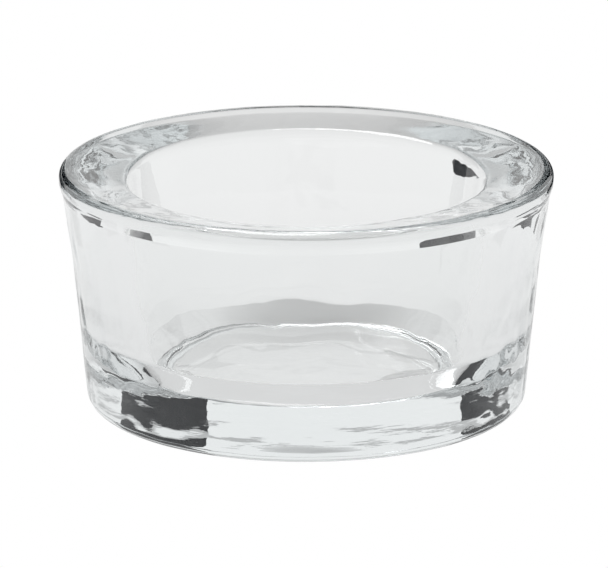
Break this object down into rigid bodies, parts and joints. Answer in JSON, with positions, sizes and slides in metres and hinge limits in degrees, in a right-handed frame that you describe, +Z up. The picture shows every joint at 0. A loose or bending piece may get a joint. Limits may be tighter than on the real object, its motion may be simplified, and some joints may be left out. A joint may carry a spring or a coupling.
{
  "type": "tealight holder",
  "caption": "Low, thick-walled clear glass tealight holder: a flared round cup with a beaded rim, a dipped rim top, a tapered well and a solid base.",
  "frame": {"origin": "centre of the resting face, on the axis of the cup", "axes": "+Z up along the axis of the cup, X and Y across it"},
  "size_m": [0.065, 0.065, 0.0321],
  "materials": {
    "clear_glass": "clear pressed soda-lime glass, fire-polished, slightly rippled, faint grey-green tint"
  },
  "bodies": {
    "root": {"glass_body": "clear_glass"}
  },
  "joints": []
}
